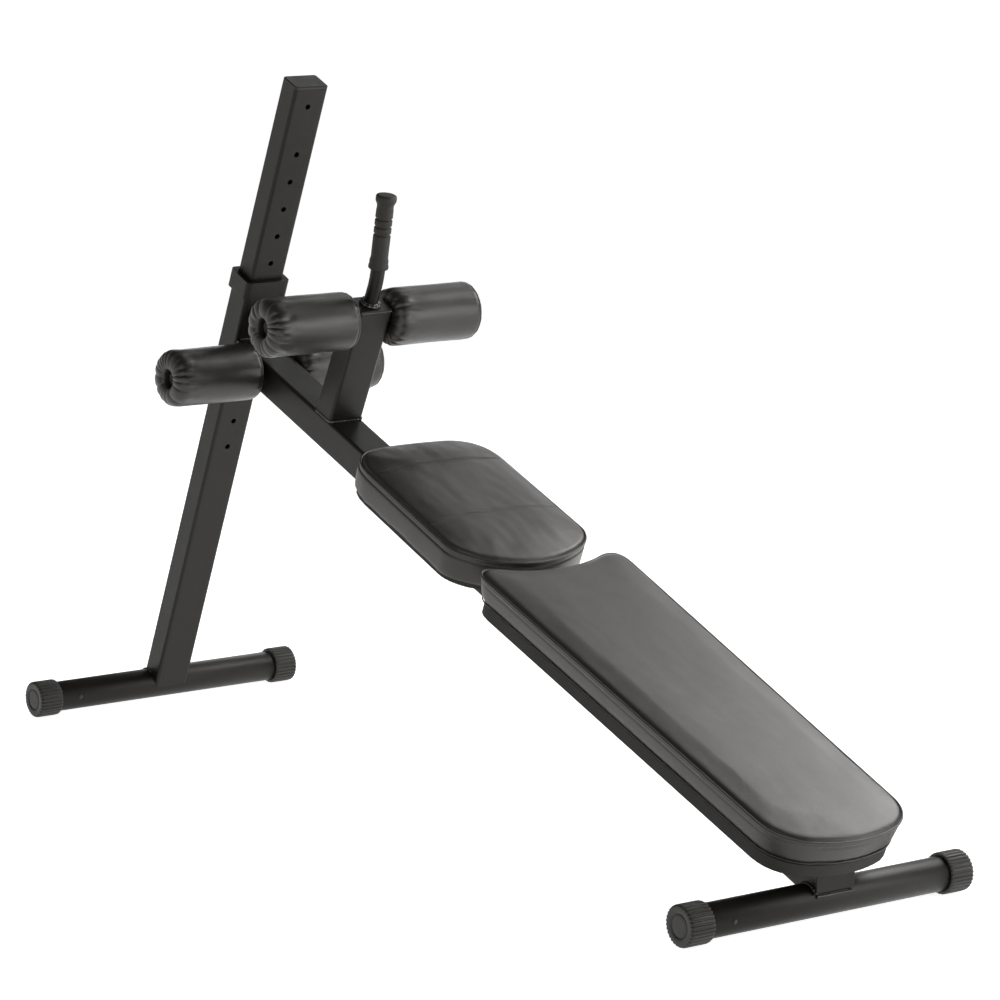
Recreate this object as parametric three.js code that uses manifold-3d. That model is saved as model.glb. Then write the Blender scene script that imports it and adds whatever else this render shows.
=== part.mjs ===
// Decline sit-up bench: a padded beam that slopes down from an adjustable rear post to a front foot.
// Millimetres. X runs from the rear post to the front foot, Y across the bench, Z up, floor at z = 0.
// A beam-frame position is "up" (along the beam from the front foot) and height above the beam's axis.
// A post-frame position is x (towards the front face) and z (up the post from the rear tube's level).
import * as THREE from 'three';
import { mergeVertices } from 'three/addons/utils/BufferGeometryUtils.js';
import Module from 'manifold-3d';

const wasm = await Module();
wasm.setup();

const deg = THREE.MathUtils.degToRad;
const GAP = 0.3;                    // left between pieces that touch

// Stance
const FOOT_SPACING = 1672;          // rear tube to front tube
const DECLINE = deg(21.4);          // beam below horizontal
const POST_LEAN = deg(23.4);        // post forward of vertical
const BEAM_RISE = 31.85;            // beam axis above the front tube's axis, at the tube
const POST_OFFSET = 4;              // post axis in front of the rear tube's axis

// Feet
const FOOT_WIDTH = 490;             // over the end caps
const TUBE_R = 24;
const TUBE_WALL = 2;
const CAP_R = 29;
const CAP_LENGTH = 40;
const CAP_FLOOR = 5;
const CAP_RIBS = 30;
const RIB_DEPTH = 1.5;
const CAP_RECESS_R = 16;
const SCREW_FROM_END = 74;

// Rear post and the sleeve that slides on it
const POST_X = 40;
const POST_Y = 60;
const POST_WALL = 2.5;
const POST_TOP = 1102;              // top of the plug
const PLUG_HEAD = 4;
const HOLE_R = 4.5;
const HOLE_PITCH = 47.5;
const HOLE_COUNT = 12;
const FIRST_HOLE = 986;             // highest hole of the even row
const TOP_HOLE = 1068;              // the single hole near the plug
const LOCK_HOLE = FIRST_HOLE - 6 * HOLE_PITCH;
const SLEEVE_X = 48;
const SLEEVE_Y = 68;
const SLEEVE_WALL = 3.4;
const SLEEVE_LOW = 563;
const SLEEVE_TOP = 767;
const COLLAR_X = 57;
const COLLAR_Y = 78;
const COLLAR_HEIGHT = 30;

// Beam
const BEAM_H = 50;
const BEAM_Y = 60;
const BEAM_WALL = 2.5;
const PLATE_X = 22.3;               // back of the end plate, in front of the front tube's axis
const PLATE_THICK = 3;
const PLATE_Y = 66;
const PLATE_LOW = 44;
const PLATE_TOP = 76.5;

// Roller post, rollers and handle
const ROLLER_POST_UP = 1242;        // centre of its base, up the beam
const ROLLER_POST_LEAN = deg(4.5);  // forward of square to the beam
const ROLLER_POST_X = 42;
const ROLLER_POST_Y = 60;
const ROLLER_POST_HEIGHT = 195;
const TOP_PLATE_THICK = 3;
const UPPER_AXLE_HEIGHT = 171.5;    // up the roller post
const LOWER_AXLE_UP = 1437;         // up the beam, on its axis
const ROLLER_R = 45;
const ROLLER_LENGTH = 156;
const ROLLER_BORE = 13.2;
const ROLLER_ROUND = 13;
const UPPER_INSET = 33;             // inner end of an upper roller from the middle of the bench
const LOWER_INSET = 35;
const AXLE_R = 12.5;
const AXLE_WALL = 2;
const AXLE_PLUG_HEAD = 3;
const AXLE_SHORT = 16;              // axle end inside the roller's outer face
const HANDLE_R = 11;
const HANDLE_WALL = 2;
const HANDLE_STRAIGHT = 26;
const HANDLE_BEND_R = 130;
const HANDLE_BEND = deg(14);
const HANDLE_TO_GRIP = 2;           // straight tube between the bend and the grip
const GRIP_LENGTH = 115;
const GRIP_CROWN = 6;               // rubber over the end of the tube

// Pads, in the beam frame. Heights are above the beam's top face.
const BOARD_THICK = 18;
const CUSHION_TOP = 64;
const SEAT = {
  top: 1055, low: 700, halfTop: 121, halfLow: 124, cornerTop: 62, cornerLow: 24,
  topArc: 900, lowArc: 165, boardInset: 4, wallInset: 2, edge: 50,
};
const BACK = {
  top: 668, low: -47, halfTop: 130, halfLow: 117, cornerTop: 46, cornerLow: 38,
  topArc: -240, lowArc: 200, boardInset: 9, wallInset: 6, edge: 58,
};
const CROWN = [[0.35, 1], [0.8, 6], [1, 18]];   // share of the rise above the edge, inset
const SEAT_BOLTS = [770, 960];
const BACK_BOLTS = [110, 360, 610];
const BOLT_R = 4;
const BOLT_HEAD_R = 7.5;
const BOLT_HEAD = 5.5;
const WASHER_R = 9;
const WASHER_THICK = 1.6;
const BOLT_GRIP = 14;               // thread inside the board

// Pull pin on the front face of the sleeve
const PIN_R = 4;
const BARREL_R = 9;
const BARREL_BORE = 6;
const BARREL_LENGTH = 26;
const BARREL_END = 4;
const PIN_TIP = POST_X / 2 + 0.6;
const PIN_END = 66;
const PIN_COLLAR_R = 5.6;
const PIN_COLLAR = [28, 31];
const KNOB_START = 56;
const KNOB_LENGTH = 27;
const KNOB_R = 14;
const SPRING_R = 5;
const SPRING_WIRE = 0.6;
const SPRING_TURNS = 4;

// ---------------------------------------------------------------- materials
const paint = new THREE.MeshStandardMaterial({ color: 0x2c2b29, roughness: 0.45, metalness: 0.5 });
const plastic = new THREE.MeshStandardMaterial({ color: 0x1d1d1d, roughness: 0.55, metalness: 0 });
const rubber = new THREE.MeshStandardMaterial({ color: 0x191919, roughness: 0.75, metalness: 0 });
const vinyl = new THREE.MeshStandardMaterial({ color: 0x242220, roughness: 0.4, metalness: 0 });
const wrap = new THREE.MeshStandardMaterial({ color: 0x1f1d1c, roughness: 0.6, metalness: 0 });
const zinc = new THREE.MeshStandardMaterial({ color: 0x8d8f91, roughness: 0.35, metalness: 1 });

// ---------------------------------------------------------------- frames
const bench = new THREE.Group();
const beamFrame = new THREE.Group();
beamFrame.position.set(FOOT_SPACING, 0, CAP_R + BEAM_RISE);
beamFrame.rotation.y = DECLINE;
const postFrame = new THREE.Group();
postFrame.position.set(POST_OFFSET, 0, CAP_R);
postFrame.rotation.y = POST_LEAN;
const rollerFrame = new THREE.Group();
rollerFrame.position.set(-ROLLER_POST_UP, 0, BEAM_H / 2);
rollerFrame.rotation.y = ROLLER_POST_LEAN;
beamFrame.add(rollerFrame);
bench.add(beamFrame, postFrame);
bench.updateMatrixWorld(true);

// ---------------------------------------------------------------- solids
// Merge a closed geometry's shared corners, drop its empty triangles and turn its faces outward.
function closed(geometry) {
  const bare = geometry.clone();
  bare.deleteAttribute('normal');
  bare.deleteAttribute('uv');
  const merged = mergeVertices(bare, 1e-4);
  const at = merged.getAttribute('position');
  const corner = merged.index.array;
  const kept = [];
  let volume = 0;
  const [a, b, c] = [new THREE.Vector3(), new THREE.Vector3(), new THREE.Vector3()];
  for (let i = 0; i < corner.length; i += 3) {
    const [p, q, r] = [corner[i], corner[i + 1], corner[i + 2]];
    if (p === q || q === r || r === p) continue;
    kept.push(p, q, r);
    a.fromBufferAttribute(at, p);
    b.fromBufferAttribute(at, q);
    c.fromBufferAttribute(at, r);
    volume += a.dot(b.cross(c));
  }
  if (volume < 0) kept.reverse();
  merged.setIndex(kept);
  return merged;
}

function toSolid(geometry) {
  const clean = closed(geometry);
  return new wasm.Manifold(new wasm.Mesh({
    numProp: 3,
    vertProperties: new Float32Array(clean.getAttribute('position').array),
    triVerts: new Uint32Array(clean.index.array),
  }));
}

function toGeometry(solid) {
  const mesh = solid.getMesh();
  const geometry = new THREE.BufferGeometry();
  geometry.setAttribute('position', new THREE.BufferAttribute(mesh.vertProperties, 3));
  geometry.setIndex(new THREE.BufferAttribute(mesh.triVerts, 1));
  return geometry;
}

function cut(geometry, ...tools) {
  return toGeometry(tools.reduce((solid, tool) => solid.subtract(toSolid(tool)), toSolid(geometry)));
}

function join(geometry, ...others) {
  return toGeometry(others.reduce((solid, other) => solid.add(toSolid(other)), toSolid(geometry)));
}

// Express a geometry made in one frame in another frame.
function carry(geometry, from, to) {
  return geometry.applyMatrix4(from.matrixWorld).applyMatrix4(to.matrixWorld.clone().invert());
}

const add = (frame, name, geometry, material) => {
  const mesh = new THREE.Mesh(closed(geometry), material);
  mesh.name = name;
  frame.add(mesh);
};

// ---------------------------------------------------------------- basic shapes
const AXES = {                      // where a shape's own x, y and its extrusion point
  x: [[0, 1, 0], [0, 0, 1], [1, 0, 0]],
  y: [[0, 0, 1], [1, 0, 0], [0, 1, 0]],
  z: [[1, 0, 0], [0, 1, 0], [0, 0, 1]],
};

function along(axis, geometry) {
  const basis = AXES[axis].map((v) => new THREE.Vector3(...v));
  return geometry.applyMatrix4(new THREE.Matrix4().makeBasis(...basis));
}

function extrude(axis, shape, from, to, curveSegments = 3) {
  const geometry = new THREE.ExtrudeGeometry(shape, {
    depth: to - from, bevelEnabled: false, curveSegments,
  });
  return along(axis, geometry.translate(0, 0, from));
}

function trace(path, width, height, radius) {
  const [x, y] = [width / 2 - radius, height / 2 - radius];
  path.absarc(x, y, radius, 0, Math.PI / 2);
  path.absarc(-x, y, radius, Math.PI / 2, Math.PI);
  path.absarc(-x, -y, radius, Math.PI, 1.5 * Math.PI);
  path.absarc(x, -y, radius, 1.5 * Math.PI, 2 * Math.PI);
  path.closePath();
  return path;
}

const block = (width, height, radius) => trace(new THREE.Shape(), width, height, radius);

function boxSection(width, height, wall, radius = 5) {
  const shape = block(width, height, radius);
  shape.holes.push(trace(new THREE.Path(), width - 2 * wall, height - 2 * wall, radius - wall / 2));
  return shape;
}

function ring(outer, inner) {
  const shape = new THREE.Shape().absarc(0, 0, outer, 0, 2 * Math.PI);
  shape.holes.push(new THREE.Path().absarc(0, 0, inner, 0, 2 * Math.PI));
  return shape;
}

const rod = (axis, radius, from, to, sides = 24) => {
  const geometry = new THREE.CylinderGeometry(radius, radius, to - from, sides);
  return along(axis, geometry.rotateX(Math.PI / 2).translate(0, 0, (from + to) / 2));
};

const tube = (axis, outer, wall, from, to, segments = 12) =>
  extrude(axis, ring(outer, outer - wall), from, to, segments);

// A turned piece: profile points are [radius, distance along the axis].
const turned = (axis, profile, sides = 20) => {
  const points = profile.map(([r, z]) => new THREE.Vector2(r, z));
  return along(axis, new THREE.LatheGeometry(points, sides).rotateX(Math.PI / 2));
};

// ---------------------------------------------------------------- feet
function ribbedOutline() {
  const shape = new THREE.Shape();
  const step = (2 * Math.PI) / CAP_RIBS;
  const half = CAP_R * Math.tan(step * 0.23);
  const root = CAP_R - RIB_DEPTH;
  for (let i = 0; i < CAP_RIBS; i += 1) {
    const turn = i * step;
    const spot = (r, side) => new THREE.Vector2(r, side).rotateAround(new THREE.Vector2(), turn);
    const points = [spot(CAP_R, -half), spot(CAP_R, half), spot(root, half * 1.35)];
    const next = new THREE.Vector2(root, -half * 1.35).rotateAround(new THREE.Vector2(), turn + step);
    [...points, next].forEach((p, k) => (i + k ? shape.lineTo(p.x, p.y) : shape.moveTo(p.x, p.y)));
  }
  shape.closePath();
  return shape;
}

function footCap() {
  const body = extrude('y', ribbedOutline(), 0, CAP_LENGTH);
  const bore = rod('y', TUBE_R + GAP, CAP_FLOOR, CAP_LENGTH + 1);
  const recess = rod('y', CAP_RECESS_R, -1, 2, 18);
  return cut(body, bore, recess);
}

function screw() {
  return turned('x', [[0, -6], [1.6, -6], [1.6, 0], [3.6, 0.2], [3, 1.5], [1.6, 2.1], [0, 2.1]], 10);
}

function foot(name, x) {
  const frame = new THREE.Group();
  frame.position.set(x, 0, CAP_R);
  bench.add(frame);
  const end = FOOT_WIDTH / 2 - CAP_FLOOR - GAP;
  const screwY = SCREW_FROM_END - FOOT_WIDTH / 2;
  const shell = cut(
    tube('y', TUBE_R, TUBE_WALL, -end, end, 16),
    rod('x', 1.9, 0, TUBE_R + 2, 12).translate(0, screwY, 0),
  );
  add(frame, `${name}_stabilizer`, shell, paint);
  add(frame, `${name}_foot_cap_left`, footCap().translate(0, -FOOT_WIDTH / 2, 0), plastic);
  add(frame, `${name}_foot_cap_right`, footCap().rotateZ(Math.PI).translate(0, FOOT_WIDTH / 2, 0), plastic);
  add(frame, `${name}_cap_screw`, screw().translate(TUBE_R + GAP, screwY, 0), zinc);
  return frame;
}

// ---------------------------------------------------------------- rear post
function rearPost(rearFoot) {
  const holes = [TOP_HOLE];
  for (let i = 0; i < HOLE_COUNT; i += 1) holes.push(FIRST_HOLE - i * HOLE_PITCH);
  const drill = (z) => rod('x', HOLE_R, POST_X / 2 - POST_WALL - 2, POST_X / 2 + 2, 12).translate(0, 0, z);
  const saddle = carry(rod('y', TUBE_R + GAP, -POST_Y, POST_Y, 32), rearFoot, postFrame);
  const wall = extrude('z', boxSection(POST_X, POST_Y, POST_WALL), 0, POST_TOP - PLUG_HEAD - GAP);
  return cut(wall, saddle, ...holes.map(drill));
}

function postPlug() {
  const neck = 2 * (POST_WALL + GAP);
  const low = POST_TOP - PLUG_HEAD;
  const head = extrude('z', block(POST_X, POST_Y, 5), low, POST_TOP - 1.2);
  const crown = extrude('z', block(POST_X - 3, POST_Y - 3, 4), POST_TOP - 1.5, POST_TOP);
  const stem = extrude('z', block(POST_X - neck, POST_Y - neck, 3), low - 20, low + 1);
  return join(head, crown, stem);
}

// ---------------------------------------------------------------- sleeve and pull pin
function sleeve() {
  const wall = extrude('z', boxSection(SLEEVE_X, SLEEVE_Y, SLEEVE_WALL, 6), SLEEVE_LOW, SLEEVE_TOP);
  return cut(wall, rod('x', PIN_R + 0.5, 15, 30, 16).translate(0, 0, LOCK_HOLE));
}

function collar() {
  const wall = (COLLAR_Y - SLEEVE_Y) / 2 - GAP;
  const shape = block(COLLAR_X, COLLAR_Y, 8);
  shape.holes.push(trace(new THREE.Path(), SLEEVE_X + 2 * GAP, COLLAR_Y - 2 * wall, 6 + GAP));
  return extrude('z', shape, SLEEVE_TOP - COLLAR_HEIGHT, SLEEVE_TOP);
}

function pullPin() {
  const base = SLEEVE_X / 2 + GAP;
  const end = base + BARREL_LENGTH;
  const seat = end - BARREL_END;
  const barrel = turned('x', [
    [BARREL_BORE, base], [BARREL_R, base], [BARREL_R, end - 1], [BARREL_R - 1, end],
    [PIN_R + GAP, end], [PIN_R + GAP, seat], [BARREL_BORE, seat], [BARREL_BORE, base],
  ]);
  const pin = turned('x', [
    [0, PIN_TIP], [PIN_R - 1, PIN_TIP], [PIN_R, PIN_TIP + 1], [PIN_R, PIN_COLLAR[0]],
    [PIN_COLLAR_R, PIN_COLLAR[0]], [PIN_COLLAR_R, PIN_COLLAR[1]], [PIN_R, PIN_COLLAR[1]],
    [PIN_R, PIN_END], [0, PIN_END],
  ], 16);
  const top = KNOB_START + KNOB_LENGTH;
  const knob = cut(
    turned('x', [
      [0, KNOB_START], [7, KNOB_START], [8, KNOB_START + 3], [KNOB_R - 1, KNOB_START + 8],
      [KNOB_R, KNOB_START + 14], [KNOB_R - 1.5, top - 6], [KNOB_R - 5, top - 1.5], [6, top], [0, top],
    ]),
    rod('x', PIN_R + GAP, KNOB_START - 1, PIN_END + GAP, 16),
  );
  const parts = [['pin_barrel', barrel, paint], ['lock_pin', pin, zinc], ['pin_knob', knob, plastic],
    ['pin_spring', spring(PIN_COLLAR[1] + 2 * SPRING_WIRE, seat - 2 * SPRING_WIRE), zinc]];
  for (const [name, geometry, material] of parts) {
    add(postFrame, name, geometry.translate(0, 0, LOCK_HOLE), material);
  }
}

class Helix extends THREE.Curve {
  constructor(from, to) {
    super();
    this.from = from;
    this.to = to;
  }

  getPoint(t) {
    const angle = t * SPRING_TURNS * 2 * Math.PI;
    const x = THREE.MathUtils.lerp(this.from, this.to, t);
    return new THREE.Vector3(x, SPRING_R * Math.cos(angle), SPRING_R * Math.sin(angle));
  }
}

function spring(from, to) {
  const wire = new THREE.Shape().absarc(0, 0, SPRING_WIRE, 0, 2 * Math.PI);
  const steps = SPRING_TURNS * 10;
  return new THREE.ExtrudeGeometry(wire, {
    steps, curveSegments: 3, bevelEnabled: false, extrudePath: new Helix(from, to),
  });
}

// ---------------------------------------------------------------- beam
function mainBeam(frontFoot) {
  const length = FOOT_SPACING;
  const wall = extrude('x', boxSection(BEAM_Y, BEAM_H, BEAM_WALL), -length, 60);
  const halfSpace = new THREE.BoxGeometry(400, 200, 600);
  const behindSleeve = carry(
    halfSpace.clone().translate(SLEEVE_X / 2 + GAP - 200, 0, (SLEEVE_LOW + SLEEVE_TOP) / 2),
    postFrame, beamFrame,
  );
  const beyondPlate = carry(halfSpace.clone().translate(PLATE_X - GAP + 200, 0, 0), frontFoot, beamFrame);
  const saddle = carry(rod('y', TUBE_R + GAP, -BEAM_Y, BEAM_Y, 32), frontFoot, beamFrame);
  const axleHole = rod('y', AXLE_R + GAP, -BEAM_Y, BEAM_Y, 24).translate(-LOWER_AXLE_UP, 0, 0);
  const boltHoles = [...SEAT_BOLTS, ...BACK_BOLTS]
    .map((up) => rod('z', BOLT_R + GAP, -BEAM_H, BEAM_H, 12).translate(-up, 0, 0));
  return cut(wall, behindSleeve, beyondPlate, saddle, axleHole, ...boltHoles);
}

function endPlate() {
  const centre = (PLATE_LOW + PLATE_TOP) / 2 - CAP_R;
  return extrude('x', block(PLATE_Y, PLATE_TOP - PLATE_LOW, 2), PLATE_X, PLATE_X + PLATE_THICK)
    .translate(0, 0, centre);
}

function boardBolt(up) {
  const face = -BEAM_H / 2 - GAP;
  const tip = BEAM_H / 2 + GAP + BOLT_GRIP;
  const shank = turned('z', [
    [0, face - WASHER_THICK - 1], [BOLT_R, face - WASHER_THICK - 1], [BOLT_R, face - WASHER_THICK],
    [WASHER_R, face - WASHER_THICK], [WASHER_R, face], [BOLT_R, face], [BOLT_R, tip - 1],
    [BOLT_R - 1, tip], [0, tip],
  ], 12);
  const headTop = face - WASHER_THICK + 0.2;
  const head = rod('z', BOLT_HEAD_R, headTop - BOLT_HEAD, headTop, 6);
  return join(shank, head).translate(-up, 0, 0);
}

// ---------------------------------------------------------------- pads
// The outline of a pad lies in the beam frame's x and y. Its ends are arcs across the bench: a
// negative radius curves the end inwards. Each corner is cut back and rounded.
function padOutline(pad, inset = 0) {
  const endPoint = (end, arc, y) => {
    const sag = Math.abs(arc) - Math.sqrt(arc * arc - y * y);
    return end === 'top' ? pad.top - inset - Math.sign(arc) * sag : pad.low + inset + sag;
  };
  const shape = new THREE.Shape();
  const halfAt = (up) => THREE.MathUtils.mapLinear(up, pad.low, pad.top, pad.halfLow, pad.halfTop) - inset;
  const steps = 10;
  const points = [];
  for (const [end, arc, corner] of [['top', pad.topArc, pad.cornerTop], ['low', pad.lowArc, pad.cornerLow]]) {
    const half = end === 'top' ? pad.halfTop - inset : pad.halfLow - inset;
    const side = end === 'top' ? 1 : -1;
    const tip = endPoint(end, arc, half);
    const inner = half - corner;
    const sideUp = tip - side * corner;
    const across = [];
    for (let i = 0; i <= steps; i += 1) {
      const y = THREE.MathUtils.mapLinear(i, 0, steps, -inner, inner);
      across.push([endPoint(end, arc, y), y]);
    }
    points.push({ sideUp, tip, half, across });
  }
  const [top, low] = points;
  shape.moveTo(-low.sideUp, -halfAt(low.sideUp));
  shape.lineTo(-top.sideUp, -halfAt(top.sideUp));
  shape.quadraticCurveTo(-top.tip, -top.half, -top.across[0][0], top.across[0][1]);
  top.across.slice(1).forEach(([up, y]) => shape.lineTo(-up, y));
  shape.quadraticCurveTo(-top.tip, top.half, -top.sideUp, halfAt(top.sideUp));
  shape.lineTo(-low.sideUp, halfAt(low.sideUp));
  shape.quadraticCurveTo(-low.tip, low.half, -low.across[steps][0], low.across[steps][1]);
  low.across.reverse().slice(1).forEach(([up, y]) => shape.lineTo(-up, y));
  shape.quadraticCurveTo(-low.tip, -low.half, -low.sideUp, -halfAt(low.sideUp));
  return shape;
}

function board(pad, bolts) {
  const low = BEAM_H / 2 + GAP;
  const slab = extrude('z', padOutline(pad, pad.boardInset), low, low + BOARD_THICK, 6);
  const hole = (up) => rod('z', BOLT_R + GAP, 0, low + BOLT_GRIP + GAP, 12).translate(-up, 0, 0);
  return cut(slab, ...bolts.map(hole));
}

// The cushion's wall leans out to the edge seam; above it a crown closes in over the foam.
function cushion(pad) {
  const rise = CUSHION_TOP - pad.edge;
  const rings = [
    [2 * GAP + BOARD_THICK, pad.wallInset], [pad.edge, 0],
    ...CROWN.map(([share, inset]) => [pad.edge + share * rise, inset]),
  ];
  const outlines = rings.map(([, inset]) => padOutline(pad, inset).getPoints(6));
  const count = outlines[0].length;
  const at = rings.flatMap(([height], i) => outlines[i].flatMap((p) => [p.x, p.y, BEAM_H / 2 + height]));
  const last = (rings.length - 1) * count;
  const index = THREE.ShapeUtils.triangulateShape(outlines[0], []).flatMap(([a, b, c]) => [a, c, b]);
  index.push(...THREE.ShapeUtils.triangulateShape(outlines[rings.length - 1], [])
    .flatMap((face) => face.map((k) => last + k)));
  for (let ring = 0; ring < rings.length - 1; ring += 1) {
    for (let k = 0; k < count; k += 1) {
      const [a, b] = [ring * count + k, ring * count + ((k + 1) % count)];
      index.push(b, a, a + count, b, a + count, b + count);
    }
  }
  const geometry = new THREE.BufferGeometry();
  geometry.setAttribute('position', new THREE.Float32BufferAttribute(at, 3));
  geometry.setIndex(index);
  return geometry;
}

function pad(name, outline, bolts) {
  add(beamFrame, `${name}_board`, board(outline, bolts), wrap);
  add(beamFrame, `${name}_cushion`, cushion(outline), vinyl);
  bolts.forEach((up, i) => add(beamFrame, `${name}_bolt_${i + 1}`, boardBolt(up), zinc));
}

// ---------------------------------------------------------------- rollers
function roller() {
  const profile = [[ROLLER_BORE, 2]];
  const steps = 2;
  for (let i = 0; i <= steps; i += 1) {
    const a = (i / steps) * (Math.PI / 2);
    profile.push([ROLLER_R - ROLLER_ROUND * (1 - Math.sin(a)), ROLLER_ROUND * (1 - Math.cos(a))]);
  }
  for (let i = steps; i >= 0; i -= 1) {
    const a = (i / steps) * (Math.PI / 2);
    const z = ROLLER_LENGTH - ROLLER_ROUND * (1 - Math.cos(a));
    profile.push([ROLLER_R - ROLLER_ROUND * (1 - Math.sin(a)), z]);
  }
  profile.push([ROLLER_BORE, ROLLER_LENGTH - 2], [ROLLER_BORE, 2]);
  return turned('y', profile, 24);
}

function axlePlug(end) {
  const stem = AXLE_R - AXLE_WALL - GAP;
  return turned('y', [
    [0, end - 14], [stem - 1, end - 14], [stem, end - 12], [stem, end], [AXLE_R, end],
    [AXLE_R, end + 1.5], [AXLE_R - 2, end + AXLE_PLUG_HEAD], [0, end + AXLE_PLUG_HEAD],
  ], 16);
}

function rollerPair(name, frame, x, z, inset) {
  const end = inset + ROLLER_LENGTH - AXLE_SHORT;
  const at = (geometry) => geometry.translate(x, 0, z);
  add(frame, `${name}_axle`, at(tube('y', AXLE_R, AXLE_WALL, -end, end)), paint);
  for (const [side, turn] of [['right', 0], ['left', Math.PI]]) {
    add(frame, `${name}_axle_plug_${side}`, at(axlePlug(end + GAP).rotateZ(turn)), plastic);
    add(frame, `${name}_roller_${side}`, at(roller().translate(0, inset, 0).rotateZ(turn)), vinyl);
  }
}

// ---------------------------------------------------------------- roller post and handle
function rollerPost() {
  const section = boxSection(ROLLER_POST_X, ROLLER_POST_Y, BEAM_WALL);
  const wall = extrude('z', section, -20, ROLLER_POST_HEIGHT);
  const beamSpace = carry(
    new THREE.BoxGeometry(400, 200, 200).translate(-ROLLER_POST_UP, 0, BEAM_H / 2 + GAP - 100),
    beamFrame, rollerFrame,
  );
  const axleHole = rod('y', AXLE_R + GAP, -ROLLER_POST_Y, ROLLER_POST_Y, 24);
  return cut(wall, beamSpace, axleHole.translate(0, 0, UPPER_AXLE_HEIGHT));
}

function topPlate() {
  const low = ROLLER_POST_HEIGHT + GAP;
  return extrude('z', block(ROLLER_POST_X, ROLLER_POST_Y, 4), low, low + TOP_PLATE_THICK);
}

// The handle's centre line: straight up the roller post, one bend backwards, then straight again.
class HandlePath extends THREE.Curve {
  constructor(upper) {
    super();
    this.arc = HANDLE_BEND_R * HANDLE_BEND;
    this.upper = upper;
    this.total = HANDLE_STRAIGHT + this.arc + upper;
  }

  spot(distance) {
    const low = Math.min(distance, HANDLE_STRAIGHT);
    const bent = THREE.MathUtils.clamp(distance - HANDLE_STRAIGHT, 0, this.arc);
    const rest = Math.max(0, distance - HANDLE_STRAIGHT - this.arc);
    const turn = bent / HANDLE_BEND_R;
    const x = -HANDLE_BEND_R * (1 - Math.cos(turn)) - rest * Math.sin(turn);
    const z = low + HANDLE_BEND_R * Math.sin(turn) + rest * Math.cos(turn);
    return new THREE.Vector3(x, 0, z);
  }

  getPoint(t) {
    return this.spot(t * this.total);
  }
}

function handle() {
  const base = ROLLER_POST_HEIGHT + TOP_PLATE_THICK + 2 * GAP;
  const path = new HandlePath(HANDLE_TO_GRIP + GRIP_LENGTH - GRIP_CROWN - GAP);
  const geometry = new THREE.ExtrudeGeometry(ring(HANDLE_R, HANDLE_R - HANDLE_WALL), {
    steps: 10, curveSegments: 8, bevelEnabled: false, extrudePath: path,
  });
  add(rollerFrame, 'handle_tube', geometry.translate(0, 0, base), paint);
  const start = path.spot(HANDLE_STRAIGHT + path.arc + HANDLE_TO_GRIP);
  add(rollerFrame, 'handle_grip', grip().rotateY(-HANDLE_BEND).translate(start.x, 0, start.z + base), rubber);
}

function grip() {
  const bore = HANDLE_R + GAP;
  const body = 13.3;
  const profile = [[bore, 0], [15.4, 0], [15.4, 5], [14.2, 14], [body, 16]];
  for (const groove of [54, 66, 78]) {
    profile.push([body, groove - 1.6], [body - 1.1, groove], [body, groove + 1.6]);
  }
  profile.push([body, GRIP_LENGTH - 14], [16, GRIP_LENGTH - 9], [16, GRIP_LENGTH - 3], [13.5, GRIP_LENGTH]);
  profile.push([0, GRIP_LENGTH], [0, GRIP_LENGTH - GRIP_CROWN], [bore, GRIP_LENGTH - GRIP_CROWN], [bore, 0]);
  return turned('z', profile, 18);
}

// ---------------------------------------------------------------- assembly
const rearFoot = foot('rear', 0);
const frontFoot = foot('front', FOOT_SPACING);
bench.updateMatrixWorld(true);

add(postFrame, 'rear_post', rearPost(rearFoot), paint);
add(postFrame, 'rear_post_plug', postPlug(), plastic);
add(postFrame, 'adjuster_sleeve', sleeve(), paint);
add(postFrame, 'sleeve_collar', collar(), paint);
pullPin();

add(beamFrame, 'main_beam', mainBeam(frontFoot), paint);
add(frontFoot, 'beam_end_plate', endPlate(), paint);
pad('seat', SEAT, SEAT_BOLTS);
pad('back', BACK, BACK_BOLTS);

add(rollerFrame, 'roller_post', rollerPost(), paint);
add(rollerFrame, 'roller_post_plate', topPlate(), paint);
rollerPair('upper', rollerFrame, 0, UPPER_AXLE_HEIGHT, UPPER_INSET);
rollerPair('lower', beamFrame, -LOWER_AXLE_UP, 0, LOWER_INSET);
handle();

// The origin is on the floor, in the middle of the whole bench.
const box = new THREE.Box3().setFromObject(bench, true);
bench.position.x = -(box.min.x + box.max.x) / 2;

export default bench;
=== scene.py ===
"""Looks of the decline sit-up bench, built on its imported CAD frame.

Pieces are modelled in millimetres, in local frames that match the CAD's: FRONT and REAR (the axis of a
foot tube), BEAM (x runs down the beam, z square to its top), POST (z runs up the rear post) and
ROLLER_POST (z runs up the roller post). Each is a matrix that also turns the millimetres into the
shared frame's metres.
"""
import math
import random

import bmesh
import bpy
import numpy as np
from mathutils import Matrix, Vector, noise
from mathutils.kdtree import KDTree


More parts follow.
